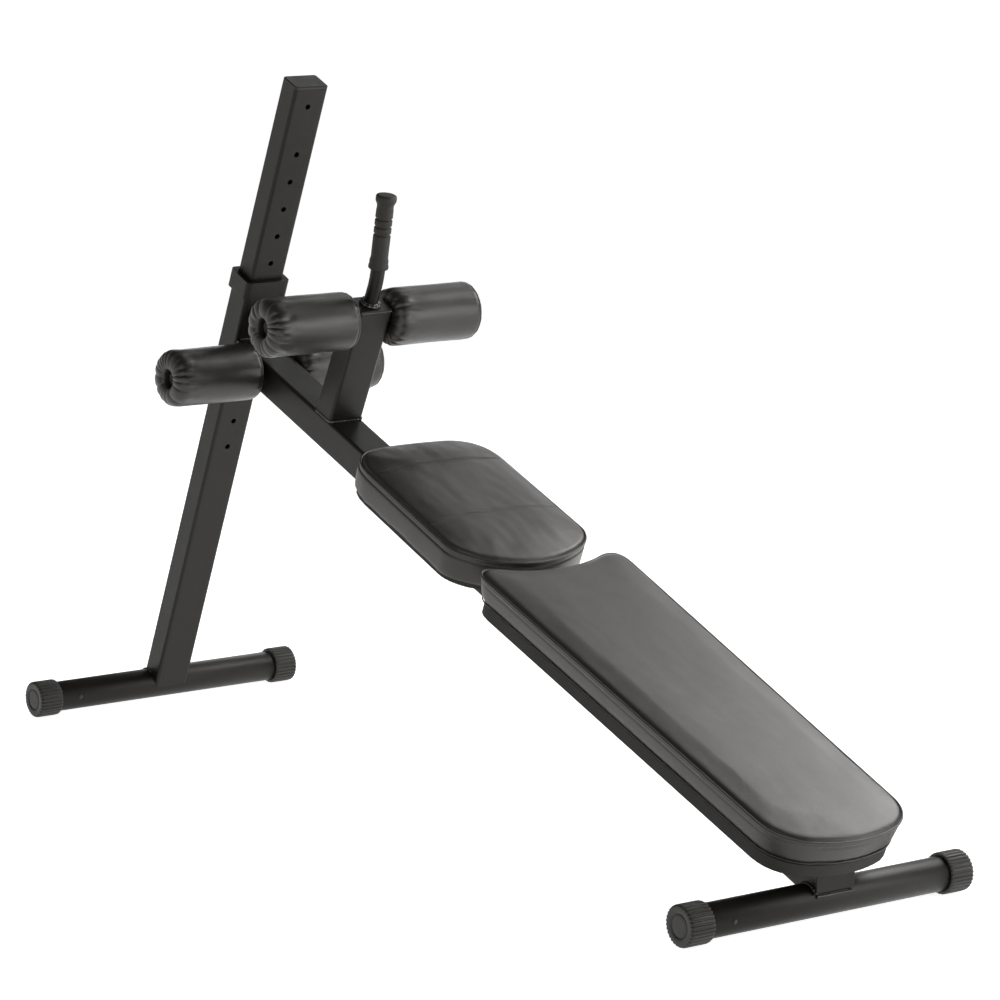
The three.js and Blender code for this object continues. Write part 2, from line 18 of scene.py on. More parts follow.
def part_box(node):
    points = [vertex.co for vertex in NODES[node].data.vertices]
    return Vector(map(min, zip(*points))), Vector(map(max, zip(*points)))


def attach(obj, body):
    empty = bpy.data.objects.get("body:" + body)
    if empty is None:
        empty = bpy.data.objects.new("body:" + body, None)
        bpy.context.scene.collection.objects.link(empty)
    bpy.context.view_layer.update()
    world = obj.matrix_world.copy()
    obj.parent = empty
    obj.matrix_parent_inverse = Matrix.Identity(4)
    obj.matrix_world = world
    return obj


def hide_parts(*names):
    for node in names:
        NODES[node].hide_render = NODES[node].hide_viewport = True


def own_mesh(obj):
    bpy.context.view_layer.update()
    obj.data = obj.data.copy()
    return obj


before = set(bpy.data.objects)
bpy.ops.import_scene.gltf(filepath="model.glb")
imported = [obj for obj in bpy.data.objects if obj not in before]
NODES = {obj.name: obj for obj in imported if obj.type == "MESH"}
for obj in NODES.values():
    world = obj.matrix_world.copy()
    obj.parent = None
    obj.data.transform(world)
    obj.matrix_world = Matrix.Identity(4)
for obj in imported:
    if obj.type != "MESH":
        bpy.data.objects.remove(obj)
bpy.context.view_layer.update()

# ------------------------------------------------------------------ dimensions, mm and degrees
MM = 0.001
DECLINE = math.radians(21.4)
POST_LEAN = math.radians(23.4)
BEAM_RISE = 31.85
POST_OFFSET = 4
POST_Y = 60
SLEEVE_FRONT = 24                        # sleeve's front wall from the post's axis
BEAM_H, BEAM_Y = 50, 60
SLEEVE_UP = 1497                         # where the beam meets the sleeve, up the beam
PLATE_X = 22.3                           # back of the end plate from the front tube's axis
ROLLER_POST_UP = 1242
ROLLER_POST_LEAN = math.radians(4.5)
ROLLER_POST_X, ROLLER_POST_Y, ROLLER_POST_HEIGHT = 42, 60, 195
PLATE_THICK = 3
GAP = 0.3
UPPER_AXLE_HEIGHT = 171.5
LOWER_AXLE_UP = 1437
ROLLER_R, ROLLER_LENGTH = 45, 156
UPPER_INSET, LOWER_INSET = 33, 35
AXLE_SHORT = 16
FOOT_WIDTH = 490
CAP_FLOOR = 6                            # foot tube's end from its cap's face
TUBE_R, CAP_R, CAP_LENGTH, CAP_RIBS = 24, 29, 40, 30
HANDLE_R, HANDLE_STRAIGHT, HANDLE_BEND_R = 11, 26, 130
HANDLE_BEND = math.radians(14)
HANDLE_TO_GRIP, GRIP_LENGTH = 2, 115
SEAT = {"top": 1055, "low": 700, "half_top": 121, "half_low": 124, "corner_top": 62, "corner_low": 24,
        "top_arc": 900, "low_arc": 165, "wall_inset": 1.5, "edge": 50, "dome": 7.5}
BACK = {"top": 668, "low": -47, "half_top": 130, "half_low": 117, "corner_top": 46, "corner_low": 38,
        "top_arc": -240, "low_arc": 200, "wall_inset": 6, "edge": 57.5, "dome": 2.4}
CUSHION_LOW = 18.9
SEAT_SEAMS = (976, 827)
LIP = ((2.0, 2.5), (3.2, 3.7), (5.0, 4.6), (7.6, 5.1), (12, 5.2))   # inset, height above the edge seam
DOME_REACH, DOME_POWER = 95, 2.0                                    # how the foam domes inside the lip
VOXEL = 4.0                 # size of the cushions' remeshed faces
SWELL_SMOOTHING = 14        # rounds that keep only the broad billows of the cloth
SWELL_TOP, SWELL_SIDE = 2.5, 1.6     # how far the cloth may move a point of the crown or the wall
STITCH_DROP = 8             # edge seam down to the row of stitches
WARM_GLOSS = (1, 0.965, 0.92, 1)


def middle(node):
    low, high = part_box(node)
    return (low + high) / 2


def local(position, angle):
    return Matrix.Translation(position) @ Matrix.Rotation(angle, 4, "Y") @ Matrix.Scale(MM, 4)


FRONT_FOOT = middle("front_stabilizer")
REAR_FOOT = middle("rear_stabilizer")
FRONT = local(FRONT_FOOT, 0)
REAR = local(REAR_FOOT, 0)
BEAM = local(FRONT_FOOT + Vector((0, 0, BEAM_RISE * MM)), DECLINE)
POST = local(REAR_FOOT + Vector((POST_OFFSET * MM, 0, 0)), POST_LEAN)
ROLLER_POST = BEAM @ Matrix.Translation((-ROLLER_POST_UP, 0, BEAM_H / 2)) @ Matrix.Rotation(
    ROLLER_POST_LEAN, 4, "Y")


# ------------------------------------------------------------------ materials
def material(name, color, roughness, metallic=0.0, specular=0.5, sheen=0.0):
    mat = bpy.data.materials.new(name)
    mat.use_nodes = True
    tree = mat.node_tree
    shader = tree.nodes["Principled BSDF"]
    shader.inputs["Base Color"].default_value = (*color, 1)
    shader.inputs["Roughness"].default_value = roughness
    shader.inputs["Metallic"].default_value = metallic
    shader.inputs["Specular IOR Level"].default_value = specular
    shader.inputs["Specular Tint"].default_value = WARM_GLOSS
    shader.inputs["Sheen Weight"].default_value = sheen
    shader.inputs["Sheen Roughness"].default_value = 0.5
    return mat, tree, shader


def texture(tree, kind, scale, stretch=(1, 1, 1), **values):
    """A 3-D procedural texture on object coordinates, stretched along the row's axes."""
    coords = tree.nodes.new("ShaderNodeTexCoord")
    mapping = tree.nodes.new("ShaderNodeMapping")
    mapping.inputs["Scale"].default_value = stretch
    node = tree.nodes.new(kind)
    node.inputs["Scale"].default_value = scale
    for key, value in values.items():
        node.inputs[key].default_value = value
    tree.links.new(coords.outputs["Object"], mapping.inputs["Vector"])
    tree.links.new(mapping.outputs["Vector"], node.inputs["Vector"])
    return node


def ramp(tree, source, stops):
    """A colour ramp: stops are (position, colour or grey)."""
    node = tree.nodes.new("ShaderNodeValToRGB")
    elements = node.color_ramp.elements
    while len(elements) < len(stops):
        elements.new(0.5)
    for element, (position, value) in zip(elements, stops):
        element.position = position
        rgb = value if isinstance(value, tuple) else (value,) * 3
        element.color = (*rgb, 1)
    tree.links.new(source, node.inputs["Fac"])
    return node.outputs["Color"]


def bump(tree, shader, layers):
    """Stacked bumps: layers are (height output, depth in metres)."""
    last = None
    for height, depth in layers:
        node = tree.nodes.new("ShaderNodeBump")
        node.inputs["Distance"].default_value = depth
        tree.links.new(height, node.inputs["Height"])
        if last is not None:
            tree.links.new(last.outputs["Normal"], node.inputs["Normal"])
        last = node
    tree.links.new(last.outputs["Normal"], shader.inputs["Normal"])


def tinted(color, share):
    return tuple(c * share for c in color)


def powder_coat():
    color = (0.0050, 0.0045, 0.0037)
    mat, tree, shader = material("powder_coat", color, 0.4, specular=0.23)
    clouds = texture(tree, "ShaderNodeTexNoise", 9, Detail=4, Roughness=0.6)
    peel = texture(tree, "ShaderNodeTexNoise", 700, Detail=3)
    grit = texture(tree, "ShaderNodeTexNoise", 2600, Detail=2)
    chips = texture(tree, "ShaderNodeTexNoise", 120, Detail=6, Roughness=0.72)
    tone = ramp(tree, clouds.outputs["Fac"], [(0.3, tinted(color, 0.8)), (0.7, tinted(color, 1.25))])
    mix = tree.nodes.new("ShaderNodeMix")
    mix.data_type = "RGBA"
    mix.inputs["B"].default_value = (0.12, 0.117, 0.112, 1)
    tree.links.new(ramp(tree, chips.outputs["Fac"], [(0.735, 0.0), (0.76, 1.0)]), mix.inputs["Factor"])
    tree.links.new(tone, mix.inputs["A"])
    tree.links.new(mix.outputs["Result"], shader.inputs["Base Color"])
    tree.links.new(ramp(tree, clouds.outputs["Fac"], [(0.3, 0.34), (0.75, 0.44)]), shader.inputs["Roughness"])
    bump(tree, shader, [(peel.outputs["Fac"], 0.00035), (grit.outputs["Fac"], 0.0001)])
    return mat


def vinyl(name, color, roughness, grain=1.0, stretch=(1, 1, 1)):
    """Embossed vinyl: fine leather grain with painted shade in its valleys, soft creases and a slow drift in
    tone and gloss.
    """
    mat, tree, shader = material(name, color, roughness)
    cells = texture(tree, "ShaderNodeTexVoronoi", 620)
    cells.feature = "DISTANCE_TO_EDGE"
    pores = texture(tree, "ShaderNodeTexNoise", 1500, Detail=3)
    creases = texture(tree, "ShaderNodeTexNoise", 18, stretch, Detail=2, Roughness=0.5)
    drift = texture(tree, "ShaderNodeTexNoise", 6, Detail=3)
    tone = ramp(tree, drift.outputs["Fac"], [(0.3, tinted(color, 0.92)), (0.7, tinted(color, 1.08))])
    # painted shade: the base colour darkens in the grain's valleys, where its bump sinks
    painted_valley_shade = ramp(tree, cells.outputs["Distance"], [(0.0, 0.72), (0.16, 1.0)])
    mix = tree.nodes.new("ShaderNodeMix")
    mix.data_type = "RGBA"
    mix.blend_type = "MULTIPLY"
    mix.inputs["Factor"].default_value = 1
    tree.links.new(tone, mix.inputs["A"])
    tree.links.new(painted_valley_shade, mix.inputs["B"])
    tree.links.new(mix.outputs["Result"], shader.inputs["Base Color"])
    gloss = ramp(tree, creases.outputs["Fac"], [(0.3, roughness - 0.02), (0.7, roughness + 0.03)])
    tree.links.new(gloss, shader.inputs["Roughness"])
    height = ramp(tree, cells.outputs["Distance"], [(0.0, 0.0), (0.22, 1.0)])
    bump(tree, shader, [(creases.outputs["Fac"], 0.00025), (height, 0.00011 * grain),
                        (pores.outputs["Fac"], 0.00012 * grain)])
    return mat


def moulded(name, color, roughness, scale=900, depth=0.00012):
    mat, tree, shader = material(name, color, roughness, specular=0.45)
    spark = texture(tree, "ShaderNodeTexNoise", scale, Detail=3)
    dust = texture(tree, "ShaderNodeTexNoise", 60, Detail=5, Roughness=0.65)
    tone = ramp(tree, dust.outputs["Fac"], [(0.35, tinted(color, 0.8)), (0.72, tinted(color, 1.5))])
    tree.links.new(tone, shader.inputs["Base Color"])
    tree.links.new(ramp(tree, dust.outputs["Fac"], [(0.3, roughness - 0.06), (0.7, roughness + 0.08)]),
                   shader.inputs["Roughness"])
    bump(tree, shader, [(spark.outputs["Fac"], depth)])
    return mat


def zinc_plate():
    mat, tree, shader = material("zinc_plate", (0.2, 0.2, 0.195), 0.36, metallic=1.0)
    haze = texture(tree, "ShaderNodeTexNoise", 180, Detail=4)
    scratches = texture(tree, "ShaderNodeTexNoise", 900, (1, 1, 0.08), Detail=2)
    tree.links.new(ramp(tree, haze.outputs["Fac"], [(0.3, (0.15, 0.15, 0.15)), (0.7, (0.25, 0.25, 0.24))]),
                   shader.inputs["Base Color"])
    tree.links.new(ramp(tree, haze.outputs["Fac"], [(0.3, 0.26), (0.7, 0.44)]), shader.inputs["Roughness"])
    bump(tree, shader, [(scratches.outputs["Fac"], 0.00008)])
    return mat


def thread_material():
    color = (0.02, 0.019, 0.018)
    mat, tree, shader = material("thread", color, 0.6, specular=0.4, sheen=0.3)
    twist_and_painted_shade = texture(tree, "ShaderNodeTexWave", 900, Distortion=1.5)
    # painted shade and highlight: the colour darkens in the twist's grooves and lightens on its ridges,
    # following the bump
    tree.links.new(ramp(tree, twist_and_painted_shade.outputs["Fac"], [(0.2, tinted(color, 0.6)), (0.8, tinted(color, 1.6))]),
                   shader.inputs["Base Color"])
    bump(tree, shader, [(twist_and_painted_shade.outputs["Fac"], 0.0001)])
    return mat


PAINT = powder_coat()
WELD_PAINT = material("weld_paint", (0.012, 0.0115, 0.0105), 0.22, specular=0.6)[0]
DARK_STEEL = moulded("blackened_steel", (0.012, 0.012, 0.0115), 0.45)
PAD_VINYL = vinyl("pad_vinyl", (0.0122, 0.0104, 0.0090), 0.35, grain=0.8, stretch=(1, 1.8, 1))
ROLLER_VINYL = vinyl("roller_vinyl", (0.0092, 0.0084, 0.0077), 0.35, grain=0.5)
WRAP_VINYL = vinyl("wrap_vinyl", (0.0040, 0.0038, 0.0036), 0.75, grain=1.3)
PLASTIC = moulded("cap_plastic", (0.0085, 0.0085, 0.0083), 0.48)
RUBBER = moulded("grip_rubber", (0.006, 0.0058, 0.0052), 0.6, scale=1400)
ZINC = zinc_plate()
THREAD = thread_material()


# ------------------------------------------------------------------ mesh building
def finish_piece(obj, mat, slot, body, *replaced):
    obj.data.materials.clear()
    obj.data.materials.append(mat)
    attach(obj, body)
    if replaced:
        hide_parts(*replaced)
    return obj


def shade_smooth(bm, sharp):
    """Smooth faces, with edges above an angle kept sharp."""
    for edge in bm.edges:
        edge.smooth = len(edge.link_faces) < 2 or edge.calc_face_angle(0) < sharp
    for face in bm.faces:
        face.smooth = True


def mesh_object(name, verts, faces, place=None, sharp=math.radians(38)):
    """A mesh piece: its vertices go through the local frame, its normals face out and it shades smooth."""
    mesh = bpy.data.meshes.new(name)
    mesh.from_pydata([tuple(v) for v in verts], [], faces)
    if place is not None:
        mesh.transform(place)
    bm = bmesh.new()
    bm.from_mesh(mesh)
    bmesh.ops.recalc_face_normals(bm, faces=bm.faces)
    shade_smooth(bm, sharp)
    bm.to_mesh(mesh)
    bm.free()
    obj = bpy.data.objects.new(name, mesh)
    bpy.context.scene.collection.objects.link(obj)
    return obj


def loft(rings, wrap_rings=False):
    """Quads between closed rings of equal count; the ends are capped, or joined when wrap_rings."""
    count = len(rings[0])
    verts = [point for ring in rings for point in ring]
    faces = []
    for i in range(len(rings) if wrap_rings else len(rings) - 1):
        a, b = i * count, (i + 1) % len(rings) * count
        for j in range(count):
            k = (j + 1) % count
            faces.append((a + j, a + k, b + k, b + j))
    if not wrap_rings:
        faces.append(tuple(range(count - 1, -1, -1)))
        last = (len(rings) - 1) * count
        faces.append(tuple(range(last, last + count)))
    return verts, faces


TO_AXIS = {"y": Matrix(((0, 1, 0), (0, 0, 1), (1, 0, 0))).to_4x4(), "z": Matrix.Identity(4)}


def lathe(name, axis, profile, place, segments=96, shape=None, closed=False):
    """Turns a profile of (radius, distance) about an axis; shape(angle, index) scales the radius."""
    rings = []
    for i, (radius, distance) in enumerate(profile):
        ring = []
        for j in range(segments):
            angle = 2 * math.pi * j / segments
            r = radius * (shape(angle, i) if shape else 1)
            ring.append((r * math.cos(angle), r * math.sin(angle), distance))
        rings.append(ring)
    verts, faces = loft(rings, wrap_rings=closed)
    return mesh_object(name, verts, faces, place @ TO_AXIS[axis])


def sweep(name, points, section, place, closed=False):
    """Sweeps a closed section along points; section(i, n) gives (across, up) offsets at each one."""
    points = [Vector(p) for p in points]
    count = len(points)
    rings, side = [], None
    for i, point in enumerate(points):
        before = points[i - 1] if closed or i else points[0]
        after = points[(i + 1) % count] if closed or i < count - 1 else points[-1]
        tangent = (after - before).normalized()
        if side is None:
            side = tangent.orthogonal().normalized()
        side = (side - tangent * side.dot(tangent)).normalized()
        up = tangent.cross(side)
        rings.append([point + side * a + up * b for a, b in section(i, count)])
    if closed:                       # spread the leftover twist by starting the last ring where it fits
        size = len(rings[0])
        turn = min(range(size), key=lambda k: (rings[-1][k] - rings[0][0]).length)
        for i, ring in enumerate(rings):
            shift = round(turn * i / (count - 1))
            rings[i] = [ring[(j + shift) % size] for j in range(size)]
    verts, faces = loft(rings, wrap_rings=closed)
    return mesh_object(name, verts, faces, place)


def polygon_ring(radius, sides):
    return [(radius * math.cos(2 * math.pi * k / sides), radius * math.sin(2 * math.pi * k / sides))
            for k in range(sides)]


def round_section(radius, sides=10):
    return lambda i, n: polygon_ring(radius, sides)


def modify(obj, kind, **settings):
    modifier = obj.modifiers.new(kind.lower(), kind)
    for key, value in settings.items():
        setattr(modifier, key, value)
    return modifier


def apply_modifiers(obj):
    """Applies the object's modifiers to its mesh."""
    graph = bpy.context.evaluated_depsgraph_get()
    mesh = bpy.data.meshes.new_from_object(obj.evaluated_get(graph))
    obj.modifiers.clear()
    obj.data = mesh


def carry(node, mat, slot, body, bevel=0.5, segments=2):
    """A CAD node's shape as a finished piece: softened edges, smooth corners and flat faces kept flat."""
    sharp = math.radians(33)
    mesh = NODES[node].data.copy()
    bm = bmesh.new()
    bm.from_mesh(mesh)
    bmesh.ops.remove_doubles(bm, verts=bm.verts, dist=0.005 * MM)
    bmesh.ops.dissolve_limit(bm, angle_limit=math.radians(1), verts=bm.verts, edges=bm.edges)
    shade_smooth(bm, sharp)
    bm.to_mesh(mesh)
    bm.free()
    mesh.name = node + "_look"
    obj = bpy.data.objects.new(node + "_look", mesh)
    bpy.context.scene.collection.objects.link(obj)
    modify(obj, "BEVEL", width=bevel * MM, segments=segments, limit_method="ANGLE", angle_limit=sharp,
           harden_normals=False, use_clamp_overlap=True)
    modify(obj, "WEIGHTED_NORMAL", keep_sharp=True, mode="FACE_AREA", weight=80)
    return finish_piece(obj, mat, slot, body, node)


def steelwork():
    """The CAD's own shapes with paint, plastic and zinc on them."""
    for node in ("main_beam", "beam_end_plate", "adjuster_sleeve", "sleeve_collar", "roller_post",
                 "roller_post_plate", "pin_barrel", "upper_axle", "lower_axle"):
        carry(node, PAINT, "frame_paint", "bench_frame")
    carry("rear_post", PAINT, "frame_paint", "post_assembly")
    carry("rear_post_plug", PLASTIC, "cap_plastic", "post_assembly", bevel=0.8)
    carry("pin_knob", PLASTIC, "cap_plastic", "pull_pin", bevel=0.8)
    carry("lock_pin", ZINC, "zinc_steel", "pull_pin")
    spring = carry("pin_spring", ZINC, "zinc_steel", "bench_frame", bevel=0.05)
    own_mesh(spring)
    for node in ("seat_bolt_1", "seat_bolt_2", "back_bolt_1", "back_bolt_2", "back_bolt_3"):
        carry(node, ZINC, "zinc_steel", "bench_frame", bevel=0.4)
    carry("front_cap_screw", DARK_STEEL, "zinc_steel", "bench_frame", bevel=0.4)
    carry("rear_cap_screw", DARK_STEEL, "zinc_steel", "post_assembly", bevel=0.4)


# ------------------------------------------------------------------ welds
BEAD_STEP, BEAD_SIDES = 1.2, 10


def weld(name, points, radius, place, body, closed=False, ripple=5.0):
    """A weld bead: a lumpy cord along a joint, with the ripples of its passes."""
    points = resample([Vector(p) for p in points], BEAD_STEP, closed)
    lumps = [radius * (1 + 0.24 * math.sin(2 * math.pi * i * BEAD_STEP / ripple)
                       + 0.35 * noise.noise((i * 0.09, radius * 7, len(points)))) for i in range(len(points))]

    def section(i, n):
        return polygon_ring(lumps[i], BEAD_SIDES)
    return finish_piece(sweep(name, points, section, place, closed), WELD_PAINT, "frame_paint", body)


def resample(points, step, closed=False):
    """Points spaced evenly along a polyline."""
    loop = points + [points[0]] if closed else points
    lengths = [0.0]
    for a, b in zip(loop, loop[1:]):
        lengths.append(lengths[-1] + (b - a).length)
    count = max(3, round(lengths[-1] / step))
    out, k = [], 0
    for i in range(count + (0 if closed else 1)):
        at = lengths[-1] * i / count
        while k < len(lengths) - 2 and lengths[k + 1] < at:
            k += 1
        share = (at - lengths[k]) / max(1e-9, lengths[k + 1] - lengths[k])
        out.append(loop[k].lerp(loop[k + 1], share))
    return out


def rounded_rect(width, height, radius, steps=5):
    """Corners of a rounded rectangle, anticlockwise."""
    points = []
    for cx, cy, start in ((1, 1, 0), (-1, 1, 90), (-1, -1, 180), (1, -1, 270)):
        for i in range(steps + 1):
            angle = math.radians(start + 90 * i / steps)
            points.append((cx * (width / 2 - radius) + radius * math.cos(angle),
                           cy * (height / 2 - radius) + radius * math.sin(angle)))
    return points


def tube_arc(start, end, y):
    """Points round a foot tube at one y, between two angles in degrees."""
    return [Vector((TUBE_R * math.cos(a), y, TUBE_R * math.sin(a)))
            for a in np.linspace(math.radians(start), math.radians(end), 14)]


def roller_post_welds():
    base = [Vector((x, y, x * math.tan(ROLLER_POST_LEAN) + 0.8))
            for x, y in rounded_rect(ROLLER_POST_X + 2, ROLLER_POST_Y - 2, 5)]
    weld("weld_roller_post_base", base, 2.3, ROLLER_POST, "bench_frame", closed=True)
    top = [Vector((x, y, ROLLER_POST_HEIGHT + 0.2))
           for x, y in rounded_rect(ROLLER_POST_X - 0.6, ROLLER_POST_Y - 0.6, 4)]
    weld("weld_roller_post_top", top, 1.1, ROLLER_POST, "bench_frame", closed=True, ripple=6)
    plate_top = ROLLER_POST_HEIGHT + PLATE_THICK + GAP
    for name, radius, height, size in (("weld_handle_base", HANDLE_R + 2, 1.6, 3.4),
                                       ("weld_handle_base_upper", HANDLE_R + 0.6, 4.6, 1.8)):
        ring = [Vector((radius * math.cos(a), radius * math.sin(a), plate_top + height))
                for a in np.linspace(0, 2 * math.pi, 48, endpoint=False)]
        weld(name, ring, size, ROLLER_POST, "bench_frame", closed=True, ripple=7)


def foot_tube_welds():
    """The beads where the rear post, the beam and the end plate meet the foot tubes."""
    for side, sign in (("left", -1), ("right", 1)):
        weld(f"weld_post_{side}", tube_arc(57, 140, sign * (POST_Y / 2 + 0.2)), 2.0, REAR, "post_assembly")
    low = math.radians(13)
    front = [Vector((TUBE_R * math.cos(low) + 0.4, y, TUBE_R * math.sin(low))) for y in (-27, 27)]
    weld("weld_post_front", front, 1.7, REAR, "post_assembly")
    for side, sign in (("left", -1), ("right", 1)):
        weld(f"weld_beam_{side}", tube_arc(32, 105, sign * (BEAM_Y / 2 + GAP)), 2.1, FRONT, "bench_frame")
        edge = [Vector((PLATE_X + GAP, sign * 31.6, z)) for z in (14, 46)]
        weld(f"weld_plate_{side}", edge, 1.5, FRONT, "bench_frame")
    weld("weld_plate_low", [Vector((PLATE_X + 1.3, y, 10.2)) for y in (-31, 31)], 1.6, FRONT, "bench_frame")


def sleeve_welds():
    """The beads where the beam's upper end meets the sleeve."""
    to_post = POST.inverted() @ BEAM
    for side, sign in (("left", -1), ("right", 1)):
        y = sign * (BEAM_Y / 2 + GAP)
        heights = [(to_post @ Vector((-SLEEVE_UP, y, z))).z for z in (24, -24)]
        line = [Vector((SLEEVE_FRONT + 0.6, y, height)) for height in heights]
        weld(f"weld_sleeve_{side}", line, 2.0, POST, "bench_frame")
    line = [to_post @ Vector((3 - SLEEVE_UP, y, BEAM_H / 2)) for y in (-28, 28)]
    top = [Vector((SLEEVE_FRONT + 0.8, p.y, p.z + 0.5)) for p in line]
    weld("weld_sleeve_top", top, 2.0, POST, "bench_frame")


def welds():
    roller_post_welds()
    foot_tube_welds()
    sleeve_welds()


# ------------------------------------------------------------------ feet
def foot(name, place, body):
    end = FOOT_WIDTH / 2 - CAP_FLOOR
    profile = [(TUBE_R - 2, -end), (TUBE_R - 0.3, -end), (TUBE_R, -end + 0.4), (TUBE_R, end - 0.4),
               (TUBE_R - 0.3, end), (TUBE_R - 2, end)]
    finish_piece(lathe(f"{name}_foot_tube", "y", profile, place, closed=True), PAINT, "frame_paint", body,
                 f"{name}_stabilizer")
    for side, sign in (("left", -1), ("right", 1)):
        finish_piece(foot_cap(f"{name}_cap_{side}", place, sign), PLASTIC, "cap_plastic", body,
                     f"{name}_foot_cap_{side}")


def foot_cap(name, place, sign):
    """A moulded end cap: rounded ribs along its side, a chamfered rim and a round dish in its face."""
    ribs = 2.0 / CAP_R
    inner = CAP_LENGTH
    profile = [  # radius, distance from the face, how much of the ribs shows
        (TUBE_R + 0.35, 8, 0), (TUBE_R + 0.35, inner - 0.8, 0), (TUBE_R + 0.8, inner, 0),
        (CAP_R - 2.2, inner, 0.2), (CAP_R - 0.8, inner - 0.7, 0.7), (CAP_R - 0.2, inner - 2.4, 1),
        (CAP_R, inner - 6, 1), (CAP_R, 20, 1), (CAP_R, 4.5, 1), (CAP_R - 0.4, 2, 1), (CAP_R - 1.4, 0.8, 0.9),
        (CAP_R - 2.4, 0.3, 0.5), (CAP_R - 3.4, 0.2, 0), (22, 0.3, 0), (18.4, 0.4, 0), (17.6, 0.9, 0),
        (16.8, 2.0, 0), (16, 2.2, 0), (15.4, 1.5, 0), (14.6, 1.1, 0), (8, 1.2, 0), (2.4, 1.2, 0),
        (0.3, 1.2, 0)]

    def ribbed(angle, index):
        tooth = math.cos(angle * CAP_RIBS)
        flat = math.tanh(tooth * 3 + 0.6)
        return 1 - ribs * profile[index][2] * (1 - flat) / 2
    turned = [(r, sign * (FOOT_WIDTH / 2 - d)) for r, d, _ in profile]
    return lathe(name, "y", turned, place, segments=360, shape=ribbed)


# ------------------------------------------------------------------ handle
def handle_spot(distance):
    """Point and lean of the handle's centre line, from the roller post's top plate."""
    arc = HANDLE_BEND_R * HANDLE_BEND
    low = min(distance, HANDLE_STRAIGHT)
    bent = min(max(distance - HANDLE_STRAIGHT, 0), arc)
    rest = max(0, distance - HANDLE_STRAIGHT - arc)
    turn = bent / HANDLE_BEND_R
    x = -HANDLE_BEND_R * (1 - math.cos(turn)) - rest * math.sin(turn)
    z = low + HANDLE_BEND_R * math.sin(turn) + rest * math.cos(turn)
    return Vector((x, 0, z + ROLLER_POST_HEIGHT + PLATE_THICK + 2 * GAP))


def handle():
    start = HANDLE_STRAIGHT + HANDLE_BEND_R * HANDLE_BEND + HANDLE_TO_GRIP
    path = [handle_spot(d) for d in np.linspace(0, start + GRIP_LENGTH - 10, 60)]
    finish_piece(sweep("handle_bar", path, round_section(HANDLE_R, 40), ROLLER_POST), PAINT, "frame_paint",
                 "bench_frame", "handle_tube")
    body = 13.2
    profile = [(11.3, 0.6), (12.6, 0), (14.6, 0.3), (15.3, 1.6), (15.4, 4.5), (14.9, 6.5), (14.3, 8),
               (14.5, 12), (14.2, 14.5), (13.4, 16.5), (body, 20)]
    for groove in (54, 66, 78):
        profile += [(body + 0.1, groove - 2.6), (body - 0.2, groove - 1.8), (body - 1.6, groove - 1.1),
                    (body - 1.6, groove + 1.1), (body - 0.2, groove + 1.8), (body + 0.1, groove + 2.6)]
    top = GRIP_LENGTH
    profile += [(body, 90), (body - 0.5, 96), (body - 0.4, top - 16), (14.4, top - 12.5), (15.8, top - 9.5),
                (16, top - 7), (16, top - 3.5), (15.3, top - 1.4), (13.8, top - 0.3), (10, top),
                (3, top + 0.1), (0.2, top + 0.1)]
    base = handle_spot(start)
    place = ROLLER_POST @ Matrix.Translation(base) @ Matrix.Rotation(-HANDLE_BEND, 4, "Y")
    finish_piece(lathe("grip_sleeve", "z", profile, place), RUBBER, "grip_rubber", "bench_frame",
                 "handle_grip")


# ------------------------------------------------------------------ rollers
PLEATS = 17
ROLLER_SEGMENTS, ROLLER_ROWS = 272, 60
GATHERED_END = (    # radius, distance from the gathered end, depth of the pleats
    (12.9, 20, 0.0), (13.2, 12, 0.3), (13.6, 7.5, 0.7), (15, 4, 1.0), (18, 1.6, 1.2), (22, 0.5, 1.5),
    (27, 0.4, 1.9), (32, 1.2, 2.4), (36.5, 3.0, 2.7), (40, 5.6, 2.6), (42.6, 9, 2.1), (44.1, 13, 1.4),
    (44.8, 18, 0.8), (45.0, 24, 0.4))
SEAMED_END = (      # radius, distance from the gathered end
    (45.1, 145.6), (44.5, 147.4), (43.5, 148.5), (43.4, 149.2), (44.0, 150.2), (43.0, 152.0),
    (40.5, 153.9), (36.5, 155.2), (30, 155.8), (22, 155.6), (17, 154.6), (14.4, 152.5), (13.4, 149),
    (12.9, 140))
SEAMED_EDGE = 12    # plain sleeve ends this far from the seamed end


def roller_profile():
    """Radius, distance from the gathered end and pleat depth, out of the bore, along and back in."""
    start = GATHERED_END[-1][1]
    length = ROLLER_LENGTH - SEAMED_EDGE - start
    plain = [(ROLLER_R, start + length * i / ROLLER_ROWS, 0) for i in range(1, ROLLER_ROWS)]
    return [*GATHERED_END, *plain, *((r, y, 0) for r, y in SEAMED_END)]


def pleat(angle, radius, phases, swells):
    """How far the gathered vinyl stands out at an angle: uneven folds with sharp valleys."""
    where = angle / (2 * math.pi) * PLEATS + 0.75 * math.sin(angle + phases[0])
    where += 0.35 * math.sin(3 * angle + phases[1])
    where += 0.012 * (ROLLER_R - radius) * math.sin(2 * angle + phases[2])
    k = math.floor(where)
    share = where - k
    swell = swells[k % PLEATS] * (1 - share) + swells[(k + 1) % PLEATS] * share
    return (abs(math.sin(math.pi * where)) ** 0.55 - 0.62) * swell


